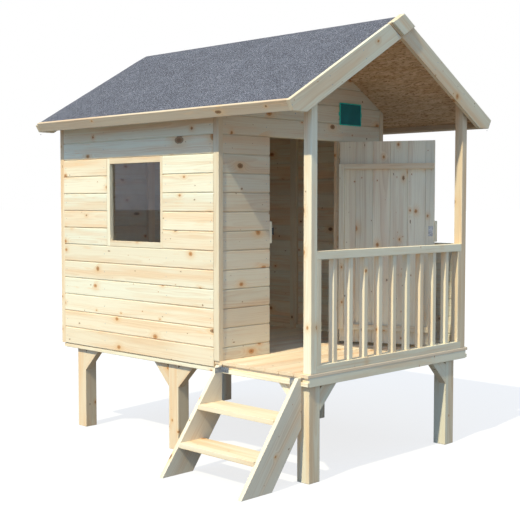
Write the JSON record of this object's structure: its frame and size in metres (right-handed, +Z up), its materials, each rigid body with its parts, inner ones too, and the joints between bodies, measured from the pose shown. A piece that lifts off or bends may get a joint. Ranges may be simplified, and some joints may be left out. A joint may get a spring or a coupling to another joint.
{
  "type": "playhouse",
  "caption": "Timber playhouse cabin raised on stilts, with a railed front porch, a short side stair, a hinged boarded door, a side window and a felted gable roof.",
  "frame": {"origin": "on the ground under the middle of the whole object's box at rest", "axes": "+Z up; the gable front with the porch faces -Y; the stair and the window are on the -X side"},
  "size_m": [1.712, 1.871, 2.071],
  "materials": {
    "framing": "planed bare spruce, edges eased",
    "cladding": "bare pine boards with V joints and small knots",
    "floor_boards": "bare pine boards, warmer tone",
    "roof_sheet": "brown wood sheet",
    "roof_felt": "blue-grey mineral roofing felt",
    "zinc_steel": "zinc plated",
    "window_pane": "clear plastic sheet in front of a dark interior",
    "sign_plate": "plain dark teal with a raised lighter rim"
  },
  "bodies": {
    "house": {"stilt_front_left": "framing", "stilt_front_right": "framing", "stilt_mid_left": "framing", "stilt_mid_right": "framing", "stilt_back_left": "framing", "stilt_back_right": "framing", "brace_front_left": "framing", "brace_front_right": "framing", "side_brace_front": "framing", "side_brace_mid_forward": "framing", "side_brace_mid_backward": "framing", "side_brace_back": "framing", "front_beam": "framing", "left_bearer": "framing", "right_bearer": "framing", "mid_cross_beam": "framing", "rear_cross_beam": "framing", "back_beam": "framing", "porch_deck": "floor_boards", "cabin_floor": "floor_boards", "left_wall": "cladding", "right_wall": "cladding", "front_wall": "cladding", "back_wall": "cladding", "window_frame": "framing", "window_pane": "window_pane", "jamb_catch_block": "framing", "hinge_leaf_lower": "zinc_steel", "hinge_leaf_upper": "zinc_steel", "porch_post_left": "framing", "porch_post_right": "framing", "handrail": "framing", "front_balusters": "framing", "side_panel": "cladding", "side_panel_rail": "framing", "sign_plate": "sign_plate", "roof_sheet_left": "roof_sheet", "roof_felt_left": "roof_felt", "eave_board_left": "framing", "roof_sheet_right": "roof_sheet", "roof_felt_right": "roof_felt", "eave_board_right": "framing", "barge_front_left": "framing", "barge_front_right": "framing", "barge_back_left": "framing", "barge_back_right": "framing", "ridge_cover": "framing", "stringer_left": "framing", "stringer_right": "framing", "tread_upper": "floor_boards", "tread_lower": "floor_boards", "stair_bracket_left": "zinc_steel", "stair_bracket_right": "zinc_steel"},
    "door": {"door_boards": "cladding", "door_stile": "framing", "door_ledge_lower": "framing", "door_ledge_upper": "framing", "door_closing_plate": "framing", "hinge_strap_lower": "zinc_steel", "hinge_strap_upper": "zinc_steel"}
  },
  "joints": [
    {"name": "door_hinge", "type": "hinge", "parent": "house", "child": "door", "pos_m": [0.347, -0.3455, 0.98], "axis": [0, 0, 1], "range_deg": [-114, 10]}
  ]
}
